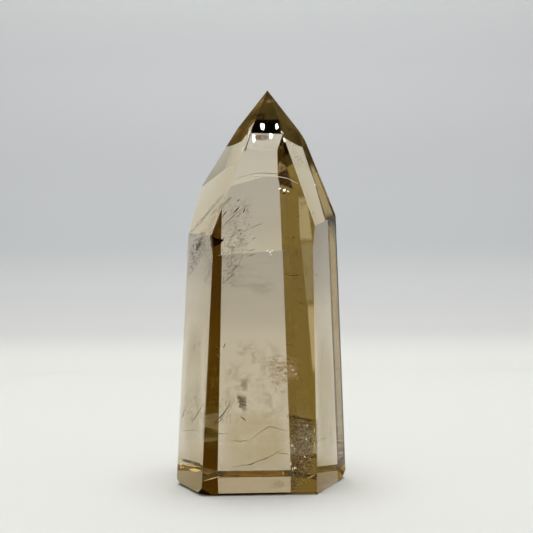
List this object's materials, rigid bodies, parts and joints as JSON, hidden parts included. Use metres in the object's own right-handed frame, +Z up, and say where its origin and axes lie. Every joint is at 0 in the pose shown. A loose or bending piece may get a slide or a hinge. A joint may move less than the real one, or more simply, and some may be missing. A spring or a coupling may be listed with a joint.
{
  "type": "polished smoky quartz point",
  "caption": "Free-standing polished point of clear smoky quartz: a tapered prism on a flat sawn base, closed by sloping shoulders and a small tip.",
  "frame": {"origin": "middle of the outline, on the plane of the flat base", "axes": "+Z up from the base to the tip, +X to the right and -Y towards the front, the side with the widest prism face"},
  "size_m": [0.0432, 0.036, 0.1],
  "materials": {
    "smoky_quartz": "polished"
  },
  "bodies": {
    "root": {"quartz_point": "smoky_quartz"}
  },
  "joints": []
}
